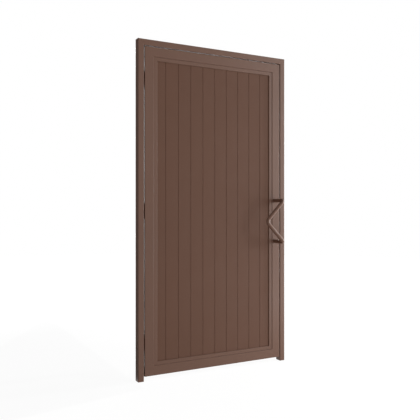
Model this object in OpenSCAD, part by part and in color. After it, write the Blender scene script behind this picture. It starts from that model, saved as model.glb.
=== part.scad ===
// Pedestrian gate. A full-height leaf hangs in a portal of two posts and a head.
// The leaf is a mitred tube frame with vertical interlocking boards held between
// beads, a V-shaped tube pull on each face, and lift-off hinges behind.
// The origin is the centre of the hinge post's foot. +X runs towards the lock
// post, the front faces -Y and +Z is up. All sizes are in millimetres.

/* [Overall size] */
// Width over both posts
gate_w = 1080; // [860:10:1400]
// Height from the ground to the top of the head
gate_h = 2100; // [1600:10:2400]

/* [Portal] */
// Face width of the tube of the posts and the head
post_w = 38; // [36:1:60]
// Depth of that tube, front to back
post_d = 50; // [36:1:70]
// Wall of the post tube
post_wall = 2; // [1.5:0.5:3]
// Outer corner radius of the post tube
post_r = 4; // [3.5:0.5:6]
// Thickness of the plate that closes each foot
foot_plate_t = 4; // [3:1:8]

/* [Leaf frame] */
// Running gap between the leaf and the portal
leaf_gap = 5; // [5:0.5:10]
// Clearance between the ground and the leaf
ground_gap = 28; // [15:1:80]
// Face width of the leaf's tube
stile_w = 60; // [50:1:90]
// Depth of the leaf's tube
leaf_d = 50; // [44:1:60]
// Wall of the leaf's tube
leaf_wall = 2; // [1.5:0.5:2.5]
// Outer corner radius of the leaf's tube
leaf_r = 3; // [3:0.5:5]

/* [Beads] */
// Face width of the beads round the boards
bead_w = 24; // [16:1:36]
// Setback of a bead behind the leaf's face
bead_set = 3; // [2:0.5:6]
// Wall of the hollow beads
bead_wall = 1.5; // [1:0.25:1.5]
// Outer corner radius of the beads
bead_r = 2; // [2:0.5:3]

/* [Boards] */
// Number of boards
board_count = 10; // [10:1:10]
// Depth from the front bead's face to the boards
reveal = 6; // [5:1:14]
// Thickness of a board
board_t = 12; // [11:0.5:14]
// Wall of the hollow board
board_wall = 1.5; // [1:0.25:1.75]
// Depth of the V groove between boards in front, and half its width
groove = 2; // [1:0.5:4.5]
// Depth of the V groove between boards behind, and half its width
back_groove = 2; // [1:0.5:2]
// Length of the tongue
tongue_l = 6; // [4:0.5:8]
// Thickness of the tongue
tongue_t = 2.6; // [2:0.1:3]
// Gap between a tongue and the slot that it enters
tongue_clear = 0.2; // [0.1:0.05:0.3]
// Gap between the boards and the other tubes round them
board_clear = 1; // [0.5:0.5:3]
// Room left between the last board and the lock stile's tube, behind the beads
last_room = 10; // [2:1:14]

/* [Pull handle] */
// Outside diameter of the pull's tube
grip_d = 25; // [20:1:30]
// Distance between the pull's two standoffs
grip_span = 280; // [220:5:360]
// Sideways reach of the V, measured to its sharp corner
grip_reach = 138; // [80:2:150]
// Distance of the pull's centreline from the leaf's face
grip_proj = 113; // [70:1:125]
// Height of the middle of the pull
grip_z = 972; // [800:1:1200]
// Centreline radius of the bend from a standoff into the V
grip_bend_r = 26; // [20:1:32]
// Centreline radius of the V's own bend
vertex_r = 30; // [20:1:40]
// Length of each straight that ends inside the bend beside it
seat_in = 1; // [0.5:0.5:1.5]
// How much fuller a bend is than a straight, on the radius
bend_full = 0.1; // [0.1:0.05:0.2]

/* [Hinges] */
// Outside diameter of a hinge knuckle
knuckle_d = 18; // [16:1:24]
// Diameter of the hinge pin
pin_d = 10; // [8:0.5:12]
// Gap between the pin and the bore of a knuckle, on the radius
pin_clear = 0.05; // [0.02:0.01:0.1]
// Height of each half of a hinge
half_h = 48; // [36:1:70]
// Width of a hinge plate
plate_w = 28; // [22:1:28]
// Thickness of a hinge plate
plate_t = 5; // [4:0.5:6]
// Radius of a hinge plate's outer corners
plate_r = 5; // [2:0.5:8]
// Diameter of the screw holes in a hinge plate
screw_hole_d = 6.6; // [5:0.2:7]
// Distance of the screw holes from a plate's outer edge
screw_in = 8.8; // [8.8:0.1:9]
// Gap between a knuckle and the back of the post and the leaf
knuckle_clear = 6; // [5:0.5:10]
// Distance of the outer hinges from the leaf's ends
hinge_inset = 190; // [120:5:300]
// Thickness of the collar that carries the leaf on each pin
collar_t = 2; // [1.5:0.5:4]
// Gap between the collar and the knuckle above it
collar_clear = 0.3; // [0.2:0.1:0.5]

/* [Hidden] */
$fn = 64;

// Cutting tools reach this far past what they cut
past = 1;
// How far inside the knuckle the flank of a hinge arm runs
flank_inset = 0.8;
// Mouth of a screw hole's 90 degree countersink
sink_d = 12.6;
// Flat left between that mouth and the arm of the hinge
sink_land = 0.3;

// Leaf outline: outer edges of its frame
leaf_x0 = post_w / 2 + leaf_gap;
leaf_x1 = gate_w - 3 * post_w / 2 - leaf_gap;
leaf_z0 = ground_gap;
leaf_z1 = gate_h - post_w - leaf_gap;

// Inner edges of the leaf's tubes, where the beads sit
bead_x0 = leaf_x0 + stile_w;
bead_x1 = leaf_x1 - stile_w;
bead_z0 = leaf_z0 + stile_w;
bead_z1 = leaf_z1 - stile_w;

// Depths through the leaf, front to back
front_y = -leaf_d / 2;
bead_y = front_y + bead_set;
board_y = bead_y + reveal;
board_back_y = board_y + board_t;
back_bead_t = leaf_d / 2 - bead_set - board_back_y;

// Board run. The first board is sawn off just past the end of its slot.
slot_t = tongue_t + 2 * tongue_clear;
slot_l = tongue_l + tongue_clear;
first_trim = slot_l + board_wall / 4;
board_x0 = bead_x0 + board_clear - first_trim;
board_z0 = bead_z0 + board_clear;
board_pitch = (bead_x1 - last_room - board_x0) / board_count;
board_h = bead_z1 - bead_z0 - 2 * board_clear;
tongue_y = (groove + board_t - back_groove) / 2;

// Pull: middle of the band that the stile and its bead make
grip_x = leaf_x1 - (stile_w + bead_w) / 2;
grip_fall = atan2(grip_span / 2, grip_reach);
grip_turn = 180 - 2 * grip_fall;
grip_leg = norm([grip_span / 2, grip_reach]) - grip_bend_r - vertex_r * tan(grip_turn / 2);

// Hinge axis, behind the middle of the running gap
axis_x = post_w / 2 + leaf_gap / 2;
axis_y = max(post_d, leaf_d) / 2 + knuckle_clear + knuckle_d / 2;
upper_hinge_z = leaf_z1 - hinge_inset;
middle_hinge_z = (leaf_z0 + leaf_z1) / 2;
lower_hinge_z = leaf_z0 + hinge_inset;

frame_brown = [0.42, 0.32, 0.28];
board_brown = [0.40, 0.30, 0.26];
hinge_brown = [0.36, 0.28, 0.25];
pin_steel = [0.62, 0.62, 0.63];

// ---------- sections and bars ----------

// Rectangle w by d about the origin, with true arcs of radius r at its corners
module rounded_rect(w, d, r) {
    square([w, d - 2 * r], center = true);
    square([w - 2 * r, d], center = true);
    for (sx = [-1, 1], sy = [-1, 1])
        translate([sx * (w / 2 - r), sy * (d / 2 - r)])
            circle(r);
}

// Hollow version of the same section
module tube_section(w, d, r, wall) {
    difference() {
        rounded_rect(w, d, r);
        rounded_rect(w - 2 * wall, d - 2 * wall, r - wall);
    }
}

// Triangular cutter in the XZ plane, deeper than any bar
module wedge(points) {
    rotate([90, 0, 0])
        linear_extrude(height = 2 * (post_d + leaf_d), center = true)
            polygon(points);
}

// Bar along +Z whose outer edge is at X = 0 and inner edge at X = w.
// Each named end is cut at 45 degrees, so the inner edge is the shorter one.
module mitred_bar(length, w, foot_mitred = true) {
    difference() {
        linear_extrude(height = length)
            children();
        if (foot_mitred)
            wedge([[-past, -past], [w + past, w + past], [w + past, -past]]);
        wedge([[-past, length + past], [w + past, length + past], [w + past, length - w - past]]);
    }
}

// One side of a mitred rectangle that spans x0..x1 and z0..z1 over its outer edges
module ring_side(side, x0, x1, z0, z1, w, foot_mitred = true) {
    if (side == "hinge")
        translate([x0, 0, z0])
            mitred_bar(z1 - z0, w, foot_mitred) children();
    if (side == "lock")
        translate([x1, 0, z0])
            mirror([1, 0, 0])
                mitred_bar(z1 - z0, w, foot_mitred) children();
    if (side == "top")
        translate([x0, 0, z1])
            rotate([0, 90, 0])
                mitred_bar(x1 - x0, w) children();
    if (side == "bottom")
        translate([x0, 0, z0])
            mirror([0, 0, 1])
                rotate([0, 90, 0])
                    mitred_bar(x1 - x0, w) children();
}

// ---------- portal ----------

module portal_side(side) {
    color(frame_brown)
        ring_side(side, -post_w / 2, gate_w - post_w / 2, foot_plate_t, gate_h, post_w, false)
            translate([post_w / 2, 0])
                tube_section(post_w, post_d, post_r, post_wall);
}

// Plate welded flush under a post
module post_foot(x) {
    color(frame_brown)
        translate([x, 0, 0])
            linear_extrude(height = foot_plate_t)
                rounded_rect(post_w, post_d, post_r);
}

// ---------- leaf frame and beads ----------

module leaf_side(side) {
    color(frame_brown)
        ring_side(side, leaf_x0, leaf_x1, leaf_z0, leaf_z1, stile_w)
            translate([stile_w / 2, 0])
                tube_section(stile_w, leaf_d, leaf_r, leaf_wall);
}

module front_bead(side) {
    color(frame_brown)
        ring_side(side, bead_x0, bead_x1, bead_z0, bead_z1, bead_w)
            translate([bead_w / 2, bead_y + reveal / 2])
                tube_section(bead_w, reveal, bead_r, bead_wall);
}

module back_bead(side) {
    color(frame_brown)
        ring_side(side, bead_x0, bead_x1, bead_z0, bead_z1, bead_w)
            translate([bead_w / 2, board_back_y + back_bead_t / 2])
                tube_section(bead_w, back_bead_t, bead_r, bead_wall);
}

// ---------- boards ----------

// Outline of a board seen from above: X across it, Y from its front to its back.
// Its edges are bevelled so that neighbours meet in a V on both faces.
module board_outline() {
    polygon([
        [0, groove], [groove, 0],
        [board_pitch - groove, 0], [board_pitch, groove],
        [board_pitch, board_t - back_groove], [board_pitch - back_groove, board_t],
        [back_groove, board_t], [0, board_t - back_groove]
    ]);
}

// Chambers of the hollow board, with one web between each two
module board_chambers() {
    chambers = 3;
    start = slot_l + board_wall;
    room = board_pitch - groove - board_wall - start;
    chamber_w = (room - (chambers - 1) * board_wall) / chambers;
    for (i = [0:chambers - 1])
        translate([start + i * (chamber_w + board_wall), board_wall])
            square([chamber_w, board_t - 2 * board_wall]);
}

// A board has a slot on its hinge side and a tongue on its lock side.
// The first one has its slot cut off and the last one its tongue, where they
// end behind the beads.
module board(index) {
    has_tongue = index < board_count - 1;
    color(board_brown)
        translate([board_x0 + index * board_pitch, board_y, board_z0])
            linear_extrude(height = board_h)
                difference() {
                    union() {
                        board_outline();
                        if (has_tongue)
                            translate([board_pitch - past, tongue_y - tongue_t / 2])
                                square([tongue_l + past, tongue_t]);
                    }
                    translate([-past, tongue_y - slot_t / 2])
                        square([slot_l + past, slot_t]);
                    board_chambers();
                    if (index == 0)
                        translate([-past, -past])
                            square([first_trim + past, board_t + 2 * past]);
                }
}

// ---------- pull ----------

// Straight length of the bar along +Z, which ends inside the bend at each bent end
module grip_straight(length, bends) {
    translate([0, 0, -seat_in * (bends - 1)])
        cylinder(d = grip_d, h = length + seat_in * bends);
}

// Bend of the bar about the Z axis, from the -Y direction round to +X
module grip_bend(bend_r, turn) {
    rotate([0, 0, -turn])
        rotate_extrude(angle = turn)
            translate([bend_r, 0])
                circle(d = grip_d + 2 * bend_full);
}

// Upper half of the pull in its own frame: the leaf's face is the plane Y = 0,
// the standoffs' axes are at X = 0 and the V's corner is at Z = 0
module grip_half() {
    translate([0, 0, grip_span / 2])
        rotate([90, 0, 0])
            grip_straight(grip_proj - grip_bend_r, 1);
    translate([0, 0, grip_span / 2])
        rotate([0, -grip_fall, 0])
            translate([-grip_bend_r, grip_bend_r - grip_proj, 0])
                grip_bend(grip_bend_r, 90);
    translate([0, -grip_proj, grip_span / 2])
        rotate([0, -90 - grip_fall, 0])
            translate([0, 0, grip_bend_r])
                grip_straight(grip_leg, 2);
}

module pull() {
    color(frame_brown)
        translate([grip_x, front_y, grip_z]) {
            grip_half();
            mirror([0, 0, 1])
                grip_half();
            translate([vertex_r / sin(grip_fall) - grip_reach, -grip_proj, 0])
                rotate([90, 0, 0])
                    rotate([0, 0, 180 + grip_turn / 2])
                        grip_bend(vertex_r, grip_turn);
        }
}

module front_pull() {
    pull();
}

module back_pull() {
    mirror([0, 1, 0])
        pull();
}

// ---------- hinges ----------

// Point where a line from p touches the far side of the circle that carries the
// arm's flank, in the axis frame. That circle is a little inside the knuckle, so
// the flank meets the knuckle at an angle and not along a tangent.
function flank_point(p) =
    let (
        reach = norm(p),
        r = knuckle_d / 2 - flank_inset,
        lean = asin(r / reach),
        along = sqrt(reach * reach - r * r),
        heading = atan2(-p[1], -p[0]) + lean
    )
    p + along * [cos(heading), sin(heading)];

// Plate with its inner edge at X = 0 and its face at Y = 0, rounded at its outer corners
module hinge_plate() {
    translate([0, plate_t, 0])
        rotate([90, 0, 0])
            linear_extrude(height = plate_t) {
                translate([plate_r - plate_w, 0])
                    square([plate_w - plate_r, half_h]);
                translate([-plate_w, plate_r])
                    square([plate_w, half_h - 2 * plate_r]);
                for (z = [plate_r, half_h - plate_r])
                    translate([plate_r - plate_w, z])
                        circle(plate_r);
            }
}

// Cutter for one screw hole, countersunk on the plate's outer face at Y = plate_t
module screw_hole() {
    sink_h = (sink_d - screw_hole_d) / 2;
    rotate([-90, 0, 0]) {
        translate([0, 0, -past])
            cylinder(d = screw_hole_d, h = plate_t + 2 * past);
        translate([0, 0, plate_t - sink_h])
            cylinder(d1 = screw_hole_d, d2 = sink_d + 2 * past, h = sink_h + past);
    }
}

// One half of a hinge in the axis frame: a plate on the face at Y = face_y,
// and an arm that runs tangent into the bored knuckle
module hinge_half(face_y) {
    near_x = -leaf_gap / 2 - 5;
    plate_y = face_y + plate_t;
    foot = [near_x - plate_w + screw_in + sink_d / 2 + sink_land, plate_y];
    difference() {
        union() {
            translate([near_x, face_y, 0])
                hinge_plate();
            linear_extrude(height = half_h)
                polygon([[foot[0], face_y + past], foot, flank_point(foot), [0, 0], [near_x, face_y + past]]);
            cylinder(d = knuckle_d, h = half_h);
        }
        translate([0, 0, -past])
            cylinder(r = pin_d / 2 + pin_clear, h = half_h + 2 * past);
        for (z = [half_h / 4, 3 * half_h / 4])
            translate([near_x - plate_w + screw_in, face_y, z])
                screw_hole();
    }
}

// The post's half is below the collar
module hinge_post_half(z) {
    color(hinge_brown)
        translate([axis_x, axis_y, z - collar_t / 2 - half_h])
            hinge_half(post_d / 2 - axis_y);
}

// The leaf's half is above the collar
module hinge_leaf_half(z) {
    color(hinge_brown)
        translate([axis_x, axis_y, z + collar_t / 2 + collar_clear])
            mirror([1, 0, 0])
                hinge_half(leaf_d / 2 - axis_y);
}

// Turned pin with a collar between the two halves and domed ends
module hinge_pin(z) {
    cap_h = 2;
    shank = 2 * half_h + collar_t + collar_clear;
    color(pin_steel)
        translate([axis_x, axis_y, z]) {
            translate([0, 0, -collar_t / 2 - half_h])
                cylinder(r = pin_d / 2, h = shank);
            translate([0, 0, -collar_t / 2])
                cylinder(d = knuckle_d, h = collar_t);
            translate([0, 0, shank - collar_t / 2 - half_h])
                cylinder(r1 = pin_d / 2, r2 = pin_d / 2 - cap_h / 2, h = cap_h);
        }
}

// ---------- nodes ----------

portal_side("hinge");  // hinge_post
portal_side("lock");  // lock_post
portal_side("top");  // head
post_foot(0);  // hinge_post_foot
post_foot(gate_w - post_w);  // lock_post_foot
leaf_side("hinge");  // hinge_stile
leaf_side("lock");  // lock_stile
leaf_side("top");  // top_rail
leaf_side("bottom");  // bottom_rail
front_bead("hinge");  // front_bead_hinge_side
front_bead("lock");  // front_bead_lock_side
front_bead("top");  // front_bead_top
front_bead("bottom");  // front_bead_bottom
back_bead("hinge");  // back_bead_hinge_side
back_bead("lock");  // back_bead_lock_side
back_bead("top");  // back_bead_top
back_bead("bottom");  // back_bead_bottom
board(0);  // board_01
board(1);  // board_02
board(2);  // board_03
board(3);  // board_04
board(4);  // board_05
board(5);  // board_06
board(6);  // board_07
board(7);  // board_08
board(8);  // board_09
board(9);  // board_10
front_pull();
back_pull();
hinge_post_half(upper_hinge_z);  // upper_hinge_post_half
hinge_leaf_half(upper_hinge_z);  // upper_hinge_leaf_half
hinge_pin(upper_hinge_z);  // upper_hinge_pin
hinge_post_half(middle_hinge_z);  // middle_hinge_post_half
hinge_leaf_half(middle_hinge_z);  // middle_hinge_leaf_half
hinge_pin(middle_hinge_z);  // middle_hinge_pin
hinge_post_half(lower_hinge_z);  // lower_hinge_post_half
hinge_leaf_half(lower_hinge_z);  // lower_hinge_leaf_half
hinge_pin(lower_hinge_z);  // lower_hinge_pin
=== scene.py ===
"""Looks of a brown pedestrian gate: a boarded leaf that swings in a portal of box tube.

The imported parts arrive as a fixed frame. This script gives each of them its finish, adds
the countersunk screws of the hinge plates, and stands the gate in a plain studio.
Lengths are in metres unless a name says otherwise. +X runs towards the lock post, the
front faces -Y and +Z is up.
"""

import logging
import math
from collections.abc import Iterable
from dataclasses import dataclass
from enum import Enum
from functools import cached_property

import bpy
import numpy as np
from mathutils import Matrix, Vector


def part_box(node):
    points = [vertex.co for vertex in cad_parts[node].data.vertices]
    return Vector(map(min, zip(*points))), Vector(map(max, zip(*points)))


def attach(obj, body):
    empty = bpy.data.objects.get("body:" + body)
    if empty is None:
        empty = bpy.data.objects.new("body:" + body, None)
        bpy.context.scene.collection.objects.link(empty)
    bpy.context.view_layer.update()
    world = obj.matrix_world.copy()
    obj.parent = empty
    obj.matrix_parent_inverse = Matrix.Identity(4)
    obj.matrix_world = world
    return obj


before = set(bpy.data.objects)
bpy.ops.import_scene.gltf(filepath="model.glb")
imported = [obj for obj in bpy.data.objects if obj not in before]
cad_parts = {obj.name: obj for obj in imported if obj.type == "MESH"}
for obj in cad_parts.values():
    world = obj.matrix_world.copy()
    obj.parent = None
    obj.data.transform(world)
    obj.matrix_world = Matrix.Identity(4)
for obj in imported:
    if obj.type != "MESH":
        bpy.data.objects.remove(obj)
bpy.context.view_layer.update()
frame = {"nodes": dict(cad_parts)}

LOG = logging.getLogger("gate")
MM = 0.001
WHITE = (1.0, 1.0, 1.0, 1.0)

# A noise pattern seldom leaves this range.
NOISE_DIPS, NOISE_PEAKS = 0.3, 0.7

# Glow of the cards that tone down the white beside the hinge post.
CARD_GREY = 0.157

Colour = tuple[float, float, float]
Point = tuple[float, float, float]
Corners = tuple[Point, Point, Point, Point]


class Body(Enum):
    """The bodies that the gate moves as."""

    PORTAL = "portal"
    LEAF = "leaf"


class Slot(Enum):
    """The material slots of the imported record."""

    FRAME = "frame_paint"
    BOARD = "board_paint"
    PULL = "pull_paint"
    HINGE = "hinge_paint"
    STEEL = "hinge_pin_steel"


def linear(red: float, green: float, blue: float) -> Colour:
    """Turn a display colour into the linear one that a shader takes.

    Args:
        red: Red, from 0 to 255.
        green: Green, from 0 to 255.
        blue: Blue, from 0 to 255.

    Returns:
        The three channels, from 0 to 1.
    """
    share = np.array([red, green, blue]) / 255
    low = share / 12.92
    high = ((share + 0.055) / 1.055) ** 2.4
    return tuple(float(v) for v in np.where(share <= 0.04045, low, high))


def shade(colour: Colour, factor: float) -> tuple[float, float, float, float]:
    """Return a colour made lighter or darker by a factor, with full opacity."""
    return (*(channel * factor for channel in colour), 1.0)


class NodeSheet:
    """The node tree of a material or a world, with short ways to add and join its nodes."""

    def __init__(self, owner: bpy.types.Material | bpy.types.World) -> None:
        """Start with an empty tree.

        Args:
            owner: The material or the world that the tree belongs to.
        """
        self.owner = owner
        owner.use_nodes = True
        self.tree = owner.node_tree
        self.tree.nodes.clear()

    @classmethod
    def of_material(cls, name: str) -> "NodeSheet":
        """Start the tree of a new material of this name."""
        return cls(bpy.data.materials.new(name))

    @cached_property
    def place(self) -> bpy.types.NodeSocket:
        """Return the part's own place, which its patterns lie on."""
        return self.add("ShaderNodeTexCoord").outputs["Object"]

    def add(
        self, kind: str, inputs: dict[str | int, object] | None = None, **settings: object
    ) -> bpy.types.Node:
        """Add a node.

        Args:
            kind: Blender's type name of the node.
            inputs: A value or an output socket for each input, by name or number.
            **settings: Properties of the node itself.

        Returns:
            The new node.
        """
        node = self.tree.nodes.new(kind)
        for name, value in settings.items():
            setattr(node, name, value)
        for name, value in (inputs or {}).items():
            if isinstance(value, bpy.types.NodeSocket):
                self.tree.links.new(value, node.inputs[name])
            else:
                node.inputs[name].default_value = value
        return node

    def noise(
        self, scale: float, detail: float = 2.0, stretch: Point = (1, 1, 1)
    ) -> bpy.types.NodeSocket:
        """Add a noise pattern on the part's own place.

        Args:
            scale: Number of its lumps in a metre, before the stretch.
            detail: Number of finer layers.
            stretch: How many times more lumps lie along each axis.

        Returns:
            The pattern, from 0 to 1 with its middle at 0.5.
        """
        place = self.place
        if stretch != (1, 1, 1):
            place = self.add("ShaderNodeMapping", {"Vector": place, "Scale": stretch}).outputs[0]
        inputs = {"Vector": place, "Scale": scale, "Detail": detail}
        return self.add("ShaderNodeTexNoise", inputs).outputs["Fac"]

    def spread(self, source: bpy.types.NodeSocket, low: float, high: float) -> bpy.types.NodeSocket:
        """Map the middle part of a noise pattern to a range.

        Args:
            source: The pattern.
            low: Result at the pattern's dips.
            high: Result at its peaks.

        Returns:
            The mapped value.
        """
        return self.remap(source, NOISE_DIPS, NOISE_PEAKS, low, high)

    def remap(
        self, source: bpy.types.NodeSocket, start: float, end: float, low: float, high: float
    ) -> bpy.types.NodeSocket:
        """Map a range of a value to another range, and hold it at the ends.

        Args:
            source: The value.
            start: Start of its range.
            end: End of its range.
            low: Result at the start.
            high: Result at the end.

        Returns:
            The mapped value.
        """
        inputs = {
            "Value": source, "From Min": start, "From Max": end, "To Min": low, "To Max": high
        }
        return self.add("ShaderNodeMapRange", inputs).outputs["Result"]

    def math(self, operation: str, *values: object) -> bpy.types.NodeSocket:
        """Add an arithmetic node and return its result."""
        inputs = dict(enumerate(values))
        return self.add("ShaderNodeMath", inputs, operation=operation).outputs["Value"]

    def mix(self, share: object, first: object, second: object) -> bpy.types.NodeSocket:
        """Mix two colours.

        Args:
            share: Share of the second colour.
            first: The first colour.
            second: The second colour.

        Returns:
            The mixed colour.
        """
        node = self.add("ShaderNodeMix", {"Factor": share}, data_type="RGBA")
        for name, value in (("A", first), ("B", second)):
            socket = next(s for s in node.inputs if s.name == name and s.type == "RGBA")
            if isinstance(value, bpy.types.NodeSocket):
                self.tree.links.new(value, socket)
            else:
                socket.default_value = value
        return next(s for s in node.outputs if s.type == "RGBA")

    def bump(
        self,
        height: bpy.types.NodeSocket,
        depth: float,
        strength: float,
        under: bpy.types.NodeSocket | None = None,
    ) -> bpy.types.NodeSocket:
        """Turn a height pattern into a bumped normal.

        Args:
            height: The pattern.
            depth: Height of its peaks.
            strength: Share of the effect.
            under: A bumped normal that this one goes on top of.

        Returns:
            The bumped normal.
        """
        inputs = {"Height": height, "Distance": depth, "Strength": strength}
        if under is not None:
            inputs["Normal"] = under
        return self.add("ShaderNodeBump", inputs).outputs["Normal"]

    def surface(self, inputs: dict[str, object]) -> bpy.types.Material:
        """Finish the material with one principled surface.

        Args:
            inputs: A value or an output socket for each of the shader's inputs.

        Returns:
            The finished material.
        """
        shader = self.add("ShaderNodeBsdfPrincipled", inputs)
        self.put_out(shader.outputs[0])
        return self.owner

    def put_out(self, shader: bpy.types.NodeSocket) -> None:
        """Join the last shader to the tree's output.

        Args:
            shader: The shader that the tree ends in.
        """
        of_world = isinstance(self.owner, bpy.types.World)
        kind = "ShaderNodeOutputWorld" if of_world else "ShaderNodeOutputMaterial"
        self.add(kind, {"Surface": shader})

    def mix_shaders(
        self, share: object, first: bpy.types.NodeSocket, second: bpy.types.NodeSocket
    ) -> bpy.types.NodeSocket:
        """Mix two shaders, by the share of the second."""
        return self.add("ShaderNodeMixShader", {0: share, 1: first, 2: second}).outputs[0]

    def seen(self) -> bpy.types.NodeSocket:
        """Tell the rays that see a thing from those that only carry light.

        Returns:
            1 for a ray of the camera, a reflection or glass, and 0 for any other.
        """
        path = self.add("ShaderNodeLightPath").outputs
        seen = self.math("MAXIMUM", path["Is Camera Ray"], path["Is Glossy Ray"])
        return self.math("MAXIMUM", seen, path["Is Transmission Ray"])


@dataclass(frozen=True)
class PowderCoat:
    """Baked powder coat on metal, with a soft orange peel and a trace of dust on ledges.

    The peel is fine rounded lumps, and the tooth is the much finer roughness of a
    matt coat. The tone drifts slowly over the part, and specks lie in the pigment.
    Dust lies where a face's normal points up by more than the ledge. A run of boards
    starts at an x and has a pitch, and each board of it is a little darker or lighter.
    Each scale is a number of lumps in a metre.
    """

    name: str
    colour: Colour
    roughness: float
    roughness_swing: float = 0.025
    patch_scale: float = 11.0
    gloss: float = 0.5
    drift: float = 0.03
    drift_scale: float = 1.7
    specks: float = 0.03
    speck_scale: float = 900.0
    speck_lift: float = 1.9
    peel: float = 0.1
    peel_scale: float = 380.0
    peel_depth: float = 0.1 * MM
    tooth: float = 0.0
    tooth_scale: float = 2600.0
    tooth_depth: float = 0.06 * MM
    dust: Colour = linear(168, 158, 146)
    dust_most: float = 0.1
    dust_scale: float = 26.0
    ledge: float = 0.8
    run_start: float | None = None
    run_pitch: float = 1.0
    run_drift: float = 0.0
    run_shade: float = 0.8

    def make(self) -> bpy.types.Material:
        """Make the material.

        Returns:
            The finished material.
        """
        sheet = NodeSheet.of_material(self.name)
        drift = sheet.spread(sheet.noise(self.drift_scale, 3.0), 0.0, 1.0)
        dark, light = (shade(self.colour, 1 + turn * self.drift) for turn in (-1, 1))
        tone = sheet.mix(drift, dark, light)
        speck = sheet.spread(sheet.noise(self.speck_scale, 1.0), 0.0, self.specks)
        tone = sheet.mix(speck, tone, shade(self.colour, self.speck_lift))
        if self.run_start is not None:
            tone = sheet.mix(self._run_share(sheet), tone, shade(self.colour, self.run_shade))
        tone = sheet.mix(self._dust_share(sheet), tone, shade(self.dust, 1.0))
        low, high = (self.roughness + turn * self.roughness_swing for turn in (-1, 1))
        rough = sheet.spread(sheet.noise(self.patch_scale), low, high)
        normal = sheet.bump(sheet.noise(self.peel_scale, 1.0), self.peel_depth, self.peel)
        if self.tooth:
            tooth = sheet.noise(self.tooth_scale)
            normal = sheet.bump(tooth, self.tooth_depth, self.tooth, under=normal)
        return sheet.surface(
            {
                "Base Color": tone,
                "Roughness": rough,
                "Specular IOR Level": self.gloss,
                "Normal": normal,
            }
        )

    def _run_share(self, sheet: NodeSheet) -> bpy.types.NodeSocket:
        """Give each board of the run a share of the darker tone.

        A board's number is its distance from the run's start over the pitch, rounded
        down, and white noise turns the number into a share.

        Args:
            sheet: The tree that the nodes go into.

        Returns:
            The share.
        """
        across = sheet.add("ShaderNodeSeparateXYZ", {"Vector": sheet.place}).outputs["X"]
        count = sheet.math("DIVIDE", sheet.math("SUBTRACT", across, self.run_start), self.run_pitch)
        board = sheet.math("FLOOR", count)
        chance = sheet.add("ShaderNodeTexWhiteNoise", {"W": board}, noise_dimensions="1D")
        return sheet.math("MULTIPLY", chance.outputs["Value"], self.run_drift)

    def _dust_share(self, sheet: NodeSheet) -> bpy.types.NodeSocket:
        """Lay dust in patches on faces that look up.

        Args:
            sheet: The tree that the nodes go into.

        Returns:
            The share of dust.
        """
        normal = sheet.add("ShaderNodeNewGeometry").outputs["Normal"]
        upward = sheet.add("ShaderNodeSeparateXYZ", {"Vector": normal}).outputs["Z"]
        flat = sheet.remap(upward, self.ledge, 1.0, 0.0, self.dust_most)
        return sheet.math("MULTIPLY", flat, sheet.noise(self.dust_scale, 4.0))


@dataclass(frozen=True)
class TurnedSteel:
    """Bare steel turned on a lathe, with a thin film and fine rings round the upright axis."""

    name: str
    colour: Colour
    roughness: float
    film_scale: float = 60.0
    film_dark: float = 0.86
    film_light: float = 1.08
    ring_scale: float = 40.0
    ring_stretch: float = 60.0
    ring_smoother: float = 0.06
    ring_rougher: float = 0.08
    ring_depth: float = 0.05 * MM
    ring_strength: float = 0.3

    def make(self) -> bpy.types.Material:
        """Make the material.

        Returns:
            The finished material.
        """
        sheet = NodeSheet.of_material(self.name)
        film = sheet.spread(sheet.noise(self.film_scale, 3.0), 0.0, 1.0)
        dark, light = (shade(self.colour, turn) for turn in (self.film_dark, self.film_light))
        tone = sheet.mix(film, dark, light)
        rings = sheet.noise(self.ring_scale, stretch=(1, 1, self.ring_stretch))
        low, high = self.roughness - self.ring_smoother, self.roughness + self.ring_rougher
        rough = sheet.spread(rings, low, high)
        normal = sheet.bump(rings, self.ring_depth, self.ring_strength)
        return sheet.surface(
            {"Base Color": tone, "Metallic": 1.0, "Roughness": rough, "Normal": normal}
        )


@dataclass(frozen=True)
class Finishes:
    """One finish for each slot of the record."""

    frame: PowderCoat = PowderCoat(
        "satin_frame_coat", linear(104, 75, 61), 0.4, gloss=0.3, peel=0.12
    )
    board: PowderCoat = PowderCoat(
        "matt_board_coat",
        linear(95, 65, 50),
        0.62,
        gloss=0.25,
        drift=0.02,
        peel=0.05,
        tooth=0.25,
        run_start=0.0784,
        run_pitch=0.08696,
        run_drift=0.08,
    )
    pull: PowderCoat = PowderCoat(
        "satin_pull_coat", linear(103, 74, 60), 0.36, gloss=0.25, peel=0.08
    )
    hinge: PowderCoat = PowderCoat(
        "dark_hinge_coat", linear(84, 64, 55), 0.46, peel=0.2, tooth=0.1
    )
    steel: TurnedSteel = TurnedSteel("turned_steel", linear(158, 157, 156), 0.42)

    def make(self) -> dict[Slot, bpy.types.Material]:
        """Make every material.

        Returns:
            The materials, by slot.
        """
        return {
            Slot.FRAME: self.frame.make(),
            Slot.BOARD: self.board.make(),
            Slot.PULL: self.pull.make(),
            Slot.HINGE: self.hinge.make(),
            Slot.STEEL: self.steel.make(),
        }


def dress(names: Iterable[str], finish: bpy.types.Material) -> None:
    """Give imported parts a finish.

    Args:
        names: Names of the parts.
        finish: The material that all of them take.
    """
    for name in names:
        for slot in frame["nodes"][name].material_slots:
            slot.material = finish


@dataclass(frozen=True)
class Portal:
    """The two posts, the head between them and the plates that close the feet."""

    parts: tuple[str, ...] = (
        "hinge_post", "lock_post", "head", "hinge_post_foot", "lock_post_foot"
    )

    def build(self, finishes: dict[Slot, bpy.types.Material]) -> None:
        """Dress the portal."""
        dress(self.parts, finishes[Slot.FRAME])
        LOG.info("portal: %d parts in frame paint", len(self.parts))


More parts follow.
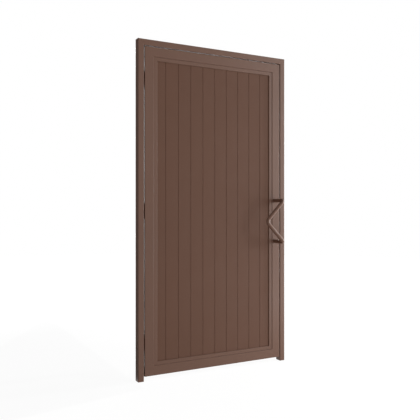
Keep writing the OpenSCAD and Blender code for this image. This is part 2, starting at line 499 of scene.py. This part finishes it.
@dataclass(frozen=True)
class LeafFrame:
    """The leaf's mitred tubes and the beads that hold its boards on both faces."""

    tubes: tuple[str, ...] = ("hinge_stile", "lock_stile", "top_rail", "bottom_rail")
    bead_faces: tuple[str, ...] = ("front", "back")
    bead_sides: tuple[str, ...] = ("hinge_side", "lock_side", "top", "bottom")

    def build(self, finishes: dict[Slot, bpy.types.Material]) -> None:
        """Dress the leaf's frame and beads.

        Args:
            finishes: The materials, by slot.
        """
        beads = [f"{face}_bead_{side}" for face in self.bead_faces for side in self.bead_sides]
        dress([*self.tubes, *beads], finishes[Slot.FRAME])
        LOG.info("leaf frame: %d tubes and %d beads", len(self.tubes), len(beads))


@dataclass(frozen=True)
class BoardRun:
    """The upright boards that fill the leaf."""

    count: int = 10

    def build(self, finishes: dict[Slot, bpy.types.Material]) -> None:
        """Dress the boards."""
        dress([f"board_{index:02d}" for index in range(1, self.count + 1)], finishes[Slot.BOARD])
        LOG.info("boards: %d in matt paint", self.count)


@dataclass(frozen=True)
class Pulls:
    """The bent V-shaped pull on each face."""

    parts: tuple[str, ...] = ("front_pull", "back_pull")

    def build(self, finishes: dict[Slot, bpy.types.Material]) -> None:
        """Dress the pulls."""
        dress(self.parts, finishes[Slot.PULL])
        LOG.info("pulls: %d", len(self.parts))


@dataclass(frozen=True)
class SocketScrew:
    """A countersunk screw with a hexagon socket, whose head is a little below flush."""

    head_d: float = 11.8 * MM
    shank_d: float = 6.0 * MM
    length: float = 12.0 * MM
    rim: float = 0.35 * MM
    edge: float = 0.15 * MM
    socket_width: float = 4.0 * MM
    socket_depth: float = 2.3 * MM
    socket_lead: float = 0.25 * MM
    around: int = 48

    def grid(self) -> np.ndarray:
        """Work out the screw's surface.

        The profile runs from the tip's middle, along the shank, out over the cone and
        the rim, in over the head's face, down the socket and to its middle. At angle a
        a ring's radius is the profile's own, or on the socket's rings the radius of a
        hexagon: half its width over the cosine of how far a is from the nearest flat's
        middle. The head's face is at height 0 and the tip below it.

        Returns:
            Points in rings by steps by (x, y, height).
        """
        head, shank = self.head_d / 2, self.shank_d / 2
        cone_foot = self.rim + head - shank
        profile = np.array(
            [
                # radius, height, share of the hexagon
                (0.0, -self.length, 0),
                (shank - self.edge, -self.length, 0),
                (shank, self.edge - self.length, 0),
                (shank, -cone_foot, 0),
                (head, -self.rim, 0),
                (head, -self.edge, 0),
                (head - self.edge, 0.0, 0),
                (self.socket_lead, 0.0, 1),
                (0.0, -self.socket_lead, 1),
                (0.0, -self.socket_depth, 1),
                (0.0, -self.socket_depth - self.socket_lead, 0),
            ]
        )
        angle = np.arange(self.around) * 2 * np.pi / self.around
        off_flat = np.mod(angle, np.pi / 3) - np.pi / 6
        hexagon = self.socket_width / 2 / np.cos(off_flat)
        radius, height, share = (profile[:, i, None] for i in range(3))
        ring = radius + share * hexagon[None, :]
        flat = np.broadcast_to(height, ring.shape)
        return np.stack([ring * np.cos(angle), ring * np.sin(angle), flat], axis=-1)


def link(name: str, data: bpy.types.ID) -> bpy.types.Object:
    """Make an object and link it to the scene.

    Args:
        name: Name of the object.
        data: Its mesh, lamp or camera.

    Returns:
        The object.
    """
    made = bpy.data.objects.new(name, data)
    bpy.context.scene.collection.objects.link(made)
    return made


def closed_mesh(
    name: str, grids: list[np.ndarray], sharp_from_deg: float = 35.0
) -> bpy.types.Object:
    """Make one object from grids of rings whose first and last rings are single points.

    Ring k and ring k+1 are joined by a band of quads, and each end ring by a fan of
    triangles round one point, so that every grid is a closed shell.

    Args:
        name: Name of the object.
        grids: Points of each shell, in rings by steps by 3.
        sharp_from_deg: Angle from which an edge is sharp.

    Returns:
        The object, linked to the scene.
    """
    points, faces, start = [], [], 0
    for grid in grids:
        rings, steps = grid.shape[0] - 2, grid.shape[1]
        body = grid[1:-1].reshape(-1, 3)
        points += [grid[0, :1], body, grid[-1, :1]]
        here = np.arange(steps)
        after = np.roll(here, -1)
        row = 1 + np.arange(rings - 1)[:, None] * steps
        beyond = row + steps
        quads = np.stack([row + here, row + after, beyond + after, beyond + here], axis=-1)
        first, last = np.zeros(steps, int), np.full(steps, rings * steps + 1)
        end = 1 + (rings - 1) * steps
        fans = [
            np.stack([first, 1 + after, 1 + here], axis=-1),
            np.stack([end + here, end + after, last], axis=-1),
        ]
        faces += (quads.reshape(-1, 4) + start).tolist()
        faces += (np.concatenate(fans) + start).tolist()
        start += rings * steps + 2
    mesh = bpy.data.meshes.new(name)
    mesh.from_pydata(np.concatenate(points).tolist(), [], faces)
    mesh.validate()
    mesh.shade_smooth()
    mesh.set_sharp_from_angle(angle=math.radians(sharp_from_deg))
    return link(name, mesh)


@dataclass(frozen=True)
class Hinge:
    """A lift-off hinge: two bored halves, the pin between them and the plates' screws."""

    level: str
    plate_t: float = 5.0 * MM
    screw_in: float = 8.8 * MM
    screw_levels: tuple[float, float] = (0.25, 0.75)
    sunk: float = 0.2 * MM
    screw: SocketScrew = SocketScrew()

    def build(self, finishes: dict[Slot, bpy.types.Material]) -> None:
        """Dress the halves and the pin, and drive the screws of both plates.

        Args:
            finishes: The materials, by slot.
        """
        halves = {
            Body.PORTAL: f"{self.level}_hinge_post_half",
            Body.LEAF: f"{self.level}_hinge_leaf_half",
        }
        dress(halves.values(), finishes[Slot.HINGE])
        dress([f"{self.level}_hinge_pin"], finishes[Slot.STEEL])
        for body, half in halves.items():
            self._drive_screws(body, half, finishes[Slot.STEEL])
        screws = len(halves) * len(self.screw_levels)
        LOG.info("%s hinge: two halves, a pin and %d screws", self.level, screws)

    def _drive_screws(self, body: Body, half: str, finish: bpy.types.Material) -> None:
        """Put screws into one plate's holes.

        Args:
            body: Body that the half moves with.
            half: Name of the half.
            finish: Material of the screws.
        """
        low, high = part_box(half)
        across = low.x + self.screw_in if body is Body.PORTAL else high.x - self.screw_in
        face = low.y + self.plate_t - self.sunk
        grid = self.screw.grid()
        shells = []
        for level in self.screw_levels:
            rise = low.z + (high.z - low.z) * level
            # The screw's own height runs along +Y here, out of the plate's face.
            turned = np.stack([grid[..., 1], grid[..., 2], grid[..., 0]], axis=-1)
            shells.append(turned + np.array([across, face, rise]))
        made = closed_mesh(f"{half}_screws", shells)
        made.data.materials.append(finish)
        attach(made, body.value)


@dataclass(frozen=True)
class SoftBox:
    """A large soft lamp that looks at a point of the gate."""

    name: str
    place: Point
    aim: Point
    width: float
    height: float
    power: float
    gleam_only: bool = False

    def hang(self) -> None:
        """Add the lamp, which lights only glossy reflections where it is gleam_only."""
        lamp = bpy.data.lights.new(self.name, "AREA")
        lamp.shape = "RECTANGLE"
        lamp.size, lamp.size_y, lamp.energy = self.width, self.height, self.power
        holder = link(self.name, lamp)
        holder.location = self.place
        sight = Vector(self.aim) - Vector(self.place)
        holder.rotation_euler = sight.to_track_quat("-Z", "Y").to_euler()
        holder.visible_camera = False
        holder.visible_diffuse = not self.gleam_only


class CardRole(Enum):
    """What a card does to the light."""

    TONE = "tones down the white that bounced light and reflections find"
    GLEAM = "shines in reflections alone"
    FLAG = "keeps lamp light off what is behind it"
    SCREEN = "keeps lamp light and reflections off what is behind it"


@dataclass(frozen=True)
class Card:
    """A flat four-sided card that the camera doesn't see."""

    name: str
    corners: Corners
    role: CardRole
    glow: float = 0.0

    def stand(self) -> None:
        """Add the card."""
        sheet = NodeSheet.of_material(self.name)
        glow = sheet.add("ShaderNodeEmission", {"Color": WHITE, "Strength": self.glow})
        sheet.put_out(glow.outputs[0])
        mesh = bpy.data.meshes.new(self.name)
        mesh.from_pydata(self.corners, [], [(0, 1, 2, 3)])
        mesh.materials.append(sheet.owner)
        card = link(self.name, mesh)
        card.visible_camera = False
        card.visible_diffuse = self.role is CardRole.TONE
        card.visible_glossy = self.role is not CardRole.FLAG
        card.visible_shadow = self.role in (CardRole.FLAG, CardRole.SCREEN)


def upright(
    start: tuple[float, float], end: tuple[float, float], low: float = 0.0, top: float = 3.2
) -> Corners:
    """Return the corners of a card that stands upright between two places.

    Args:
        start: Where it starts, by x and y.
        end: Where it ends.
        low: Height of its lower edge.
        top: Height of its upper edge.

    Returns:
        Its corners in order.
    """
    return ((*start, low), (*end, low), (*end, top), (*start, top))


def lying(height: float, *places: tuple[float, float]) -> Corners:
    """Return the corners of a card that lies at a height, from its four places."""
    return tuple((*place, height) for place in places)


@dataclass(frozen=True)
class Studio:
    """A plain pale room: a white surround, a floor that takes the gate's shadow, and lamps.

    Two grey cards stand and lie beside the hinge post, for the paint of its side. The
    gap strips and the floor strip shine into the running gap from behind. A flag keeps
    them off that side, and a screen off the head's top face. The floor's white grows
    from fade_near to fade_far, so that the gate's shadow shows near it alone.
    """

    ambient: float = 0.397
    floor_radius: float = 9.0
    floor_grey: float = 0.92
    floor_white: float = 1.06
    shadow_share: float = 0.12
    floor_glow: float = 0.25
    floor_steps: int = 96
    fade_near: float = 1.6
    fade_far: float = 3.4
    lamps: tuple[SoftBox, ...] = (
        SoftBox(
            "right_panel",
            place=(6.6, -5.8, 2.1),
            aim=(0.6, 0.0, 1.05),
            width=2.0,
            height=6.0,
            power=292.0,
        ),
        SoftBox(
            "rim_panel",
            place=(5.4, -0.45, 1.0),
            aim=(0.6, 0.0, 1.0),
            width=0.8,
            height=2.4,
            power=240.0,
        ),
        SoftBox(
            "floor_panel",
            place=(1.6, -0.95, 0.02),
            aim=(1.02, 0.0, 0.5),
            width=1.0,
            height=1.0,
            power=6.0,
        ),
        SoftBox(
            "back_bank",
            place=(3.2, 5.0, 1.2),
            aim=(0.5, 0.0, 1.05),
            width=3.4,
            height=2.4,
            power=150.0,
        ),
        SoftBox(
            "hinge_gap_strip",
            place=(-0.4, 5.0, 1.9),
            aim=(0.0, 0.0, 1.05),
            width=0.3,
            height=3.8,
            power=115.0,
            gleam_only=True,
        ),
        SoftBox(
            "lock_gap_strip",
            place=(0.62, 5.0, 1.9),
            aim=(1.02, 0.0, 1.05),
            width=0.3,
            height=3.8,
            power=150.0,
            gleam_only=True,
        ),
        SoftBox(
            "head_gap_strip",
            place=(3.15, 5.0, 1.75),
            aim=(0.6, 0.0, 2.06),
            width=3.2,
            height=0.5,
            power=18.0,
            gleam_only=True,
        ),
    )
    cards: tuple[Card, ...] = (
        Card("upright_card", upright((-1.3, 0.2), (-0.1, 2.2)), CardRole.TONE, CARD_GREY),
        Card(
            "lying_card",
            lying(0.004, (-1.3, 0.2), (-0.8, -0.3), (-0.03, -0.15), (-0.1, 2.2)),
            CardRole.TONE,
            CARD_GREY,
        ),
        Card(
            "gap_floor_strip",
            lying(0.006, (0.0, 0.25), (-0.27, 4.6), (-0.53, 4.6), (-0.02, 0.25)),
            CardRole.GLEAM,
            glow=20.0,
        ),
        Card("side_flag", upright((-0.018, 0.3), (-0.8, 0.3)), CardRole.FLAG),
        Card(
            "head_screen",
            upright((-0.06, 0.03), (1.1, 0.03), low=2.101, top=2.13),
            CardRole.SCREEN,
        ),
    )

    def build(self) -> None:
        """Make the surround, the floor, the cards and the lamps."""
        self._surround()
        self._floor()
        for card in self.cards:
            card.stand()
        for lamp in self.lamps:
            lamp.hang()
        LOG.info("studio: %d lamps and %d cards", len(self.lamps), len(self.cards))

    def _surround(self) -> None:
        """Make the world: white where it is seen, and a plain soft light elsewhere."""
        world = bpy.data.worlds.new("studio")
        bpy.context.scene.world = world
        sheet = NodeSheet(world)
        lit, white = (
            sheet.add("ShaderNodeBackground", {"Color": WHITE, "Strength": strength})
            for strength in (self.ambient, 1.0)
        )
        sheet.put_out(sheet.mix_shaders(sheet.seen(), lit.outputs[0], white.outputs[0]))
        world.cycles.sampling_method = "NONE"

    def _floor(self) -> None:
        """Make the floor: a disc whose white fades into the surround away from the gate."""
        angle = np.arange(self.floor_steps) * 2 * np.pi / self.floor_steps
        rim = np.stack([np.cos(angle), np.sin(angle), np.zeros_like(angle)], axis=-1)
        mesh = bpy.data.meshes.new("floor")
        mesh.from_pydata((rim * self.floor_radius).tolist(), [], [list(range(len(rim)))])
        link("floor", mesh)
        sheet = NodeSheet.of_material("pale_floor")
        lit = sheet.add("ShaderNodeBsdfDiffuse", {"Color": shade(WHITE[:3], self.floor_grey)})
        white = sheet.add("ShaderNodeEmission", {"Color": WHITE, "Strength": self.floor_white})
        away = sheet.add("ShaderNodeVectorMath", {0: sheet.place}, operation="LENGTH")
        fade = sheet.remap(
            away.outputs["Value"], self.fade_near, self.fade_far, 1 - self.shadow_share, 1.0
        )
        share = sheet.math("MULTIPLY", sheet.seen(), fade)
        share = sheet.math("MAXIMUM", share, self.floor_glow)
        sheet.put_out(sheet.mix_shaders(share, lit.outputs[0], white.outputs[0]))
        mesh.materials.append(sheet.owner)


@dataclass(frozen=True)
class Viewpoint:
    """Where the camera stands, left of the gate and in front of it, and how it looks."""

    place: Point = (-1.2026, -3.2352, 1.0749)
    heading_deg: float = -27.576
    lens: float = 47.78
    sensor: float = 36.0
    rise: float = -0.0094

    def set_up(self) -> None:
        """Add the camera and make it the scene's own."""
        camera = bpy.data.cameras.new("camera")
        camera.lens, camera.sensor_width, camera.shift_y = self.lens, self.sensor, self.rise
        holder = link("camera", camera)
        holder.location = self.place
        holder.rotation_euler = (math.pi / 2, 0.0, math.radians(self.heading_deg))
        bpy.context.scene.camera = holder


def main() -> None:
    """Build the gate's looks, the studio and the camera, in that order."""
    logging.basicConfig(level=logging.INFO, format="%(name)s: %(message)s")
    bpy.context.scene.view_settings.view_transform = "Standard"
    finishes = Finishes().make()
    for assembly in (Portal(), LeafFrame(), BoardRun(), Pulls()):
        assembly.build(finishes)
    for level in ("upper", "middle", "lower"):
        Hinge(level).build(finishes)
    Studio().build()
    Viewpoint().set_up()


if __name__ == "__main__":
    main()
